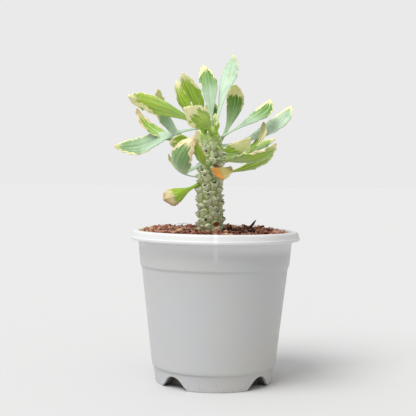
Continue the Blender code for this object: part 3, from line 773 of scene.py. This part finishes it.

# ------------------------------------------------------------------ leaves
# Fleshy variegated leaves, narrow at the stem and widest past the middle, each growing from its own
# tubercle. The upper face is a waxy mint, the underside bright green, and the ragged margin cream. The
# underside's greens and cream are painted lighter than the upper face's: painted light through the leaf
# and onto its shaded side.

# Each leaf: the height of its foot on the stem and compass angle, then the rise of its first stretch,
# roll about its midrib, length, width, and how far it bends up, curls at the tip, sways, twists and
# folds (millimetres and degrees); then its looks: wax bloom, cream width, tan in the cream, ruffle.
Leaf = namedtuple(
    "Leaf", "node z turn rise roll length width bend curl sway twist fold bloom cream tan ruffle")
LEAVES = (
    Leaf("leaf_crown_tall", 164.6, 70, 74, 31, 73, 12, -59, 37, -22, -49, 9, 1.0, 0.5, 0.0, 0.4),
    Leaf("leaf_crown_back", 164.6, 101, 82, 11, 56, 13, -54, 10, -5, -19, 16, 0.82, 1.5, 0.0, 0.4),
    Leaf("leaf_crown_front", 161.3, 260, 16, -44, 56, 15.5, -14, 49, 15, -13, 15, 0.1, 2.1, 0.0, 0.7),
    Leaf("leaf_crown_left_inner", 164.6, 234, 54, 18, 44, 16.5, -20, 20, -10, -13, 15, 0.0, 0.9, 0.0, 0.5),
    Leaf("leaf_crown_left_outer", 162.3, 191, 48, -30, 38, 13, 20, 10, -10, 6, 13, 0.0, 1.0, 0.15, 0.4),
    Leaf("leaf_crown_right", 158.8, 36, 56, -56, 42, 12.5, 85, 9, -27, 2, 15, 0.75, 2.4, 0.1, 0.5),
    Leaf("leaf_left_high", 164.6, 199, 28, -109, 65, 13.5, -21, -21, 37, -5, 13, 0.3, 1.8, 0.0, 0.5),
    Leaf("leaf_left_long", 164.6, 171, -2, 18, 73, 15, -68, 87, 32, 65, 7, 0.93, 0.9, 0.05, 0.4),
    Leaf("leaf_left_upturned", 154.5, 159, 4, 11, 56, 15, 127, -14, -29, 40, 18, 1.0, 3.2, 0.0, 0.5),
    Leaf("leaf_left_boat", 154.7, 153, 1, 25, 58, 12.5, 31, 46, 15, -3, 23, 0.5, 1.6, 0.6, 0.5),
    Leaf("leaf_left_under", 153, 184, 18, -62, 21, 11, -38, -5, 8, 0, 12, 0.0, 0.6, 0.0, 0.3),
    Leaf("leaf_right_high", 160, 5, 31, -17, 49, 13, -30, 42, -54, -32, 8, 0.82, 1.0, 0.0, 0.4),
    Leaf("leaf_right_long", 153.7, 22, 10, -29, 68, 14, 13, 8, -41, 1, 14, 1.0, 0.8, 0.0, 0.4),
    Leaf("leaf_right_front", 152, -65, -24, 26, 38, 13, 54, 27, 12, -5, 28, 0.2, 2.6, 0.3, 1.0),
    Leaf("leaf_right_back", 148, 26, -3, 1, 59, 10, 47, -42, -49, -12, 15, 0.3, 1.6, 0.1, 0.5),
    Leaf("leaf_right_trough", 144.6, 6, 7, 2, 42, 11.7, 58, 33, -38, -12, 39, 0.2, 3.0, 0.3, 0.7),
    Leaf("leaf_right_boat", 144, -66, -4, 26, 66, 16.5, 9, 44, -10, -23, 21, 0.55, 0.7, 0.4, 0.8),
    Leaf("leaf_right_low", 135.8, 2, 9, 30, 35, 12.3, 33, -6, -6, 13, 17, 0.1, 0.7, 0.0, 0.4),
    Leaf("leaf_front_curled", 140, 216, -25, 49, 55, 16, 125, 45, -16, -15, 26, 0.9, 1.3, 0.7, 1.0),
    Leaf("leaf_front_small", 139.5, 257, -1, 7, 43, 8.6, 56, 20, 9, 10, 12, 0.15, 1.2, 0.4, 0.5),
    Leaf("leaf_withered", 140, -72, -14, -8, 23, 16, -10, -7, 8, 3, 35, 0.0, 1.6, 0.45, 1.4),
    Leaf("leaf_left_thin", 133, 147, 0, -12, 33, 8, 58, 3, 5, -1, 15, 1.0, 3.5, 0.0, 0.3),
    Leaf("leaf_low_drooping", 127, 200, -27, -101, 30, 12.5, -48, -1, -2, -9, 20, 0.15, 2.4, 1.0, 0.4),
    Leaf("leaf_far_high", 159, 118, 48, 0, 34, 12, 10, 10, 0, 0, 15, 0.5, 1.0, 0.0, 0.5),
    Leaf("leaf_far_upper", 159, 96, 66, 0, 28, 11, 0, 10, 4, 0, 15, 0.7, 1.0, 0.0, 0.5),
    Leaf("leaf_far_middle", 150, 100, 5, 0, 40, 13, 40, 10, 0, 0, 18, 0.6, 1.2, 0.1, 0.6),
    Leaf("leaf_far_left", 148, 126, 0, 0, 36, 12, 30, 10, 0, 0, 18, 0.8, 1.0, 0.1, 0.5),
    Leaf("leaf_far_low", 143, 65, -5, 0, 38, 12, 40, 20, 0, 0, 20, 0.4, 1.3, 0.3, 0.6),
    Leaf("leaf_far_lowest", 136, 84, -12, 0, 32, 11, 30, 10, 0, 0, 18, 0.3, 1.0, 0.4, 0.6),
)

LEAF_STEPS = 96
LEAF_SIDES = 26
LEAF_WIDEST = 0.66
PETIOLE_HALF_WIDTH = 1.15
FOOT_GAP = 2.2
FOOT_INSET = 2.2
LEAF_THICK = 1.7
MARGIN_THICK = 0.45


def turned_towards(first, second, turn):
    """Two unit vectors turned in their own plane, the first towards the second."""
    cos, sin = math.cos(turn), math.sin(turn)
    return first * cos + second * sin, second * cos - first * sin


def leaf_stations(leaf):
    """Places along the midrib: centre, sideways and upward directions."""
    rise, turn = math.radians(leaf.rise), math.radians(leaf.turn)
    heading = Vector((math.cos(rise) * math.cos(turn), math.cos(rise) * math.sin(turn), math.sin(rise)))
    side = Vector((math.sin(turn), -math.cos(turn), 0.0))
    up = side.cross(heading)
    side, up = turned_towards(side, up, math.radians(leaf.roll))
    foot = leaf.z * MM
    reach = along_stem(STEM_CORE, foot) + FOOT_GAP * MM
    lean_here = POT_X + along_stem(STEM_LEAN, foot)
    centre = Vector((lean_here + reach * math.cos(turn), reach * math.sin(turn), foot))
    stations = [(centre - heading * FOOT_INSET * MM, side, up), (centre, side, up)]
    step = leaf.length * MM / LEAF_STEPS
    for number in range(LEAF_STEPS):
        part = (number + 0.5) / LEAF_STEPS
        bend = math.radians(leaf.bend + 4 * leaf.curl * part ** 3) / LEAF_STEPS
        heading, up = turned_towards(heading, up, bend)
        heading, side = turned_towards(heading, side, math.radians(leaf.sway) / LEAF_STEPS)
        side, up = turned_towards(side, up, math.radians(leaf.twist) / LEAF_STEPS)
        centre = centre + heading * step
        stations.append((centre, side, up))
    return stations


def half_width(leaf, part, edge):
    """Half the blade's width in millimetres, with the ragged teeth that one edge carries near the tip."""
    power = math.log(0.5) / math.log(LEAF_WIDEST)
    fullness = 1.05 if part < LEAF_WIDEST else 0.72
    blade = leaf.width / 2 * max(0.0, math.sin(math.pi * min(1.0, part) ** power)) ** fullness
    stalk = PETIOLE_HALF_WIDTH * math.sqrt(max(0.0, 1.0 - part / LEAF_WIDEST))
    ragged = min(1.0, max(0.0, (part - 0.40) / 0.35))
    phase = 1.7 * leaf.z + 0.013 * leaf.turn * leaf.length + (2.1 if edge > 0 else 0.0)
    wave = part * leaf.length / 4.3 + 0.55 * math.sin(part * 9 + phase) + phase
    tooth = 1.0 - abs(math.sin(math.pi * wave)) ** 0.8
    fine = 1.0 - abs(math.sin(math.pi * wave * 2.3))
    notch = ragged * (1.25 * (1 - tooth) * (0.6 + 0.4 * math.sin(phase + part * 14)) + 0.25 * (1 - fine))
    return max(math.hypot(blade, stalk) - notch * min(1.0, blade / 3.0), 0.30)


def shape_leaf(leaf):
    """A flat grid laid along the midrib, folded to a trough, grooved, toothed and ruffled at its edges."""
    stations = leaf_stations(leaf)
    curve = leaf.width / 2 * MM / math.radians(leaf.fold)
    blade = bmesh.new()
    bmesh.ops.create_grid(blade, x_segments=LEAF_STEPS + 1, y_segments=LEAF_SIDES, size=1.0)
    marks = {name: blade.verts.layers.float.new(name)
             for name in ("along", "across", "margin", "tip", "seed", "bloom", "cream", "tan")}
    body = blade.verts.layers.deform.verify()
    seed = (leaf.z * 0.37 + leaf.turn * 0.011 + leaf.length * 0.053) % 1.0
    for vertex in blade.verts:
        number = round((vertex.co.x + 1.0) / 2 * (LEAF_STEPS + 1))
        part = max(0.0, (number - 1) / LEAF_STEPS)
        centre, side, up = stations[number]
        sideways = math.copysign(abs(vertex.co.y) ** 0.9, vertex.co.y)
        width = half_width(leaf, part, sideways)
        across = sideways * width * MM
        aside = curve * math.sin(across / curve)
        lift = curve * (1.0 - math.cos(across / curve))
        lift -= 0.30 * MM * math.exp(-(across / (0.9 * MM)) ** 2) * min(1.0, width / 3)
        wave = part * leaf.length / 9.5 + (0.35 if sideways > 0 else 0.0) + seed * 5
        ruffle = leaf.ruffle * abs(sideways) ** 2.6 * min(1.0, max(0.0, (part - 0.25) / 0.3))
        lift += 0.75 * MM * ruffle * math.sin(math.tau * wave)
        lift += 0.25 * MM * ruffle * math.sin(math.tau * wave * 2.3 + seed * 20)
        vertex.co = centre + side * aside + up * lift
        margin = width * (1 - abs(sideways))
        thick = MARGIN_THICK + (LEAF_THICK - MARGIN_THICK) * min(1.0, margin / 4.5) ** 0.7
        if part < 0.2:
            thick = max(thick, 1.7 * (1 - part / 0.2) * (1 - sideways ** 2) ** 0.5)
        vertex[body][0] = thick / LEAF_THICK
        values = (part, sideways, margin, (1 - part) * leaf.length, seed, leaf.bloom, leaf.cream, leaf.tan)
        for name, value in zip(marks, values):
            vertex[marks[name]] = value
    bmesh.ops.reverse_faces(blade, faces=blade.faces)
    return blade


def variegation_group():
    """Shared leaf pattern: where the margin is cream, how green the streaks are, and the vein relief."""
    group = bpy.data.node_groups.new("variegation", "ShaderNodeTree")
    for name in ("Along", "Across", "Margin", "Tip", "Seed", "Cream"):
        group.interface.new_socket(name, in_out="INPUT", socket_type="NodeSocketFloat")
    for name in ("Cream", "Streak", "Green", "Vein"):
        group.interface.new_socket(name, in_out="OUTPUT", socket_type="NodeSocketFloat")
    given = add_node(group, "NodeGroupInput").outputs
    seed_far = calculate(group, "MULTIPLY", given["Seed"], 37.0)
    across = calculate(group, "MULTIPLY", given["Across"], 3.4)
    along = calculate(group, "MULTIPLY", given["Along"], 1.6)
    streaks = add_node(group, "ShaderNodeCombineXYZ", {"X": across, "Y": along, "Z": seed_far})
    coarse = grain_at(group, streaks.outputs[0], 1.6, 3.0, 0.6)
    thin = add_node(group, "ShaderNodeCombineXYZ", {"X": calculate(group, "MULTIPLY", given["Across"], 8.0),
                                                    "Y": calculate(group, "MULTIPLY", given["Along"], 2.2),
                                                    "Z": seed_far})
    fine = grain_at(group, thin.outputs[0], 1.0, 3.0, 0.65)
    widen = ease(group, given["Along"], 0.38, 0.88)
    spots = add_node(group, "ShaderNodeCombineXYZ", {"X": given["Across"], "Y": calculate(
        group, "MULTIPLY", given["Along"], 5.5), "Z": seed_far})
    patchy = grain_at(group, spots.outputs[0], 1.0, 1.0)
    patchy = ease(group, patchy, 0.36, 0.62, 0.1, 2.3)
    edge_width = calculate(group, "MULTIPLY", calculate(group, "MULTIPLY", given["Cream"], patchy), widen)
    wander = calculate(group, "MULTIPLY", calculate(group, "SUBTRACT", coarse, 0.5),
                       calculate(group, "MULTIPLY", widen, 4.0))
    bare_edge = calculate(group, "MULTIPLY_ADD", widen, -0.55, 0.7)
    jag = calculate(group, "MULTIPLY", calculate(group, "SUBTRACT", fine, 0.5), 1.6)
    from_edge = calculate(group, "SUBTRACT", given["Margin"], edge_width)
    from_edge = calculate(group, "ADD", from_edge, calculate(group, "ADD", wander, bare_edge))
    from_edge = calculate(group, "MULTIPLY_ADD", jag, widen, from_edge)
    tip_width = calculate(group, "MULTIPLY", given["Cream"], 4.6)
    from_tip = calculate(group, "SUBTRACT", given["Tip"], tip_width)
    fingers = calculate(group, "MULTIPLY", calculate(group, "SUBTRACT", fine, 0.5), 24.0)
    from_tip = calculate(group, "MULTIPLY", calculate(group, "ADD", from_tip, fingers), 0.5)
    inset = calculate(group, "SMOOTH_MIN", from_edge, from_tip, 0.6)
    cream = ease(group, inset, -0.15, 0.35, 1.0, 0.0)
    below_tip = calculate(group, "ADD", from_tip, calculate(group, "MULTIPLY", fingers, 0.6))
    near_tip = ease(group, below_tip, 2.0, 15.0, 1.0, 0.0)
    near_edge = calculate(group, "MULTIPLY", ease(group, inset, 0.3, 2.2, 0.7, 0.0), widen)
    green = calculate(group, "MAXIMUM", near_tip, near_edge)
    streaky = calculate(group, "MULTIPLY", green, ease(group, fine, 0.34, 0.56, 0.35, 1.0))
    add_node(group, "NodeGroupOutput", {"Cream": cream, "Streak": fine, "Green": streaky, "Vein": fine})
    return group


def leaf_material(name, waxy, green, deep, cream, tan, bloom_share, roughness):
    """One face of the leaf: wax over green, streaks towards the tip, then the cream and tan margin."""
    material, tree, shader = new_material(name)
    marks = read_marks(tree, "along across margin tip seed bloom cream tan")
    pattern = add_node(tree, "ShaderNodeGroup", node_tree=VARIEGATION)
    for socket, mark in (("Along", "along"), ("Across", "across"), ("Margin", "margin"), ("Tip", "tip"),
                         ("Seed", "seed"), ("Cream", "cream")):
        tree.links.new(marks[mark], pattern.inputs[socket])
    place = add_node(tree, "ShaderNodeTexCoord").outputs["Object"]
    blotch = grain_at(tree, place, 140.0, 3.0)
    freckle = grain_at(tree, place, 900.0, 3.0)
    streak = ease(tree, pattern.outputs["Streak"], 0.38, 0.62)
    dusky = ease(tree, marks["bloom"], 0.3, 0.9)
    fresh = blend_colours(tree, streak, blend_colours(tree, dusky, green, DUSKY_GREEN),
                          blend_colours(tree, dusky, deep, DUSKY_DEEP))
    wax = calculate(tree, "MULTIPLY", marks["bloom"], bloom_share)
    wax = calculate(tree, "MULTIPLY", wax, ease(tree, blotch, 0.25, 0.7, 0.75, 1.1))
    bare = ease(tree, marks["bloom"], 0.82, 1.0, 1.0, 0.2)
    rubbed = calculate(tree, "SUBTRACT", 1.0, calculate(tree, "MULTIPLY", pattern.outputs["Green"], bare))
    rubbed = calculate(tree, "MAXIMUM", rubbed, 0.0)
    wax = calculate(tree, "MULTIPLY", wax, rubbed)
    tipward = calculate(tree, "MULTIPLY", ease(tree, marks["along"], 0.42, 0.82, 0.0, 0.75), bare)
    wax = calculate(tree, "MULTIPLY", wax, calculate(tree, "SUBTRACT", 1.0, tipward))
    wax = calculate(tree, "MULTIPLY", wax, ease(tree, streak, 0.0, 1.0, 1.0, 0.78))
    blade = blend_colours(tree, wax, fresh, waxy)
    outer = calculate(tree, "MULTIPLY", marks["tan"], ease(tree, marks["margin"], 0.2, 3.2, 1.0, 0.45))
    outer = calculate(tree, "MULTIPLY", outer, ease(tree, blotch, 0.35, 0.6, 0.5, 1.0))
    rim = blend_colours(tree, outer, blend_colours(tree, ease(tree, freckle, 0.3, 0.75), cream,
                                                    blend_colours(tree, 0.25, cream, green)), tan)
    tree.links.new(blend_colours(tree, pattern.outputs["Cream"], blade, rim), shader.inputs["Base Color"])
    tree.links.new(ease(tree, wax, 0.0, 1.0, roughness, roughness + 0.12), shader.inputs["Roughness"])
    shader.inputs["Subsurface Weight"].default_value = 0.12
    shader.inputs["Subsurface Radius"].default_value = (0.9, 1.0, 0.35)
    shader.inputs["Subsurface Scale"].default_value = 0.0012
    veins = calculate(tree, "MULTIPLY_ADD", freckle, 0.35, pattern.outputs["Vein"])
    add_relief(tree, shader, veins, 0.35, 0.0003)
    return material


VARIEGATION = variegation_group()
DUSKY_GREEN = paint(120, 162, 66)
DUSKY_DEEP = paint(66, 118, 36)
CREAM = paint(238, 230, 176)
TAN = paint(205, 166, 132)
upper_face = leaf_material("leaf_upper_face", paint(192, 212, 190), paint(172, 204, 64), paint(112, 156, 32),
                           CREAM, TAN, 1.0, 0.46)
# painted light: the underside's greens and cream are lighter than the upper face's, standing in for light
# through the leaf and onto its shaded side
under_face = leaf_material("leaf_under_face", paint(192, 210, 176), paint(186, 214, 74), paint(128, 170, 36),
                           paint(250, 242, 190), TAN, 0.9, 0.42)

# the withered leaf: olive and tan, orange on one half, and painted shade of dark brown, nearly black,
# towards its foot at the stem
dry_face, tree, shader = new_material("leaf_dried")
marks = read_marks(tree, "along across margin")
place = add_node(tree, "ShaderNodeTexCoord").outputs["Object"]
speckle = grain_at(tree, place, 520.0, 4.0)
uneven = calculate(tree, "MULTIPLY_ADD", speckle, 0.9, calculate(tree, "SUBTRACT", marks["across"], 0.45))
olive = blend_colours(tree, ease(tree, speckle, 0.35, 0.65), paint(178, 172, 92), paint(206, 178, 122))
pale = blend_colours(tree, ease(tree, marks["margin"], 0.0, 1.6, 0.7, 0.0), olive, paint(226, 204, 160))
orange = blend_colours(tree, ease(tree, uneven, 0.0, 0.5), pale, paint(222, 148, 58))
# painted shade: the leaf darkens to near-black brown towards its foot, where it cups against the stem
foot_shade = calculate(tree, "MULTIPLY_ADD", speckle, 0.3, marks["along"])
tree.links.new(blend_colours(tree, ease(tree, foot_shade, 0.32, 0.52, 1.0, 0.0), orange, paint(92, 52, 26)),
               shader.inputs["Base Color"])
shader.inputs["Roughness"].default_value = 0.65
add_relief(tree, shader, speckle, 0.6, 0.0006)


def make_leaf(name, leaf, faces, thickness):
    """The blade given its thickness, fullest along the midrib, with one material on each face."""
    piece = make_piece(name, shape_leaf(leaf), faces)
    piece.vertex_groups.new(name="body")
    thicken = piece.modifiers.new("thickness", "SOLIDIFY")
    thicken.thickness = thickness * MM
    thicken.offset = 0.0
    thicken.vertex_group = "body"
    thicken.material_offset = 1
    smooth_shade(piece)
    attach(piece, "root")
    return piece


for leaf in LEAVES:
    withered = leaf.node == "leaf_withered"
    faces = [dry_face, dry_face] if withered else [upper_face, under_face]
    piece = make_leaf(f"{leaf.node}_blade", leaf, faces, LEAF_THICK)
    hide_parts(leaf.node)

# ------------------------------------------------------------------ young leaves at the growing point
# The newest leaves stand close together in the middle of the crown and hide the growing point. They
# are the same shape as the grown ones, small, upright and folded.

YOUNG_LEAVES = (
    Leaf("young_leaf_1", 163, 250, 66, 0, 11, 5, 12, 5, 0, 0, 28, 0.4, 0.8, 0.0, 0.3),
    Leaf("young_leaf_2", 164, 150, 72, 0, 12, 5, 10, 5, 0, 0, 30, 0.3, 0.8, 0.0, 0.3),
    Leaf("young_leaf_3", 164, 80, 74, 0, 11, 5, 10, 5, 0, 0, 30, 0.5, 0.8, 0.0, 0.3),
    Leaf("young_leaf_4", 162, 288, 58, 0, 7, 4, 20, 5, 0, 0, 26, 0.1, 0.1, 0.0, 0.3),
)

for leaf in YOUNG_LEAVES:
    piece = make_leaf(leaf.node, leaf, [upper_face, under_face], LEAF_THICK * 0.7)

# ------------------------------------------------------------------ sizes and finish
# The box round the visual model, leaving out the studio floor.

low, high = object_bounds()
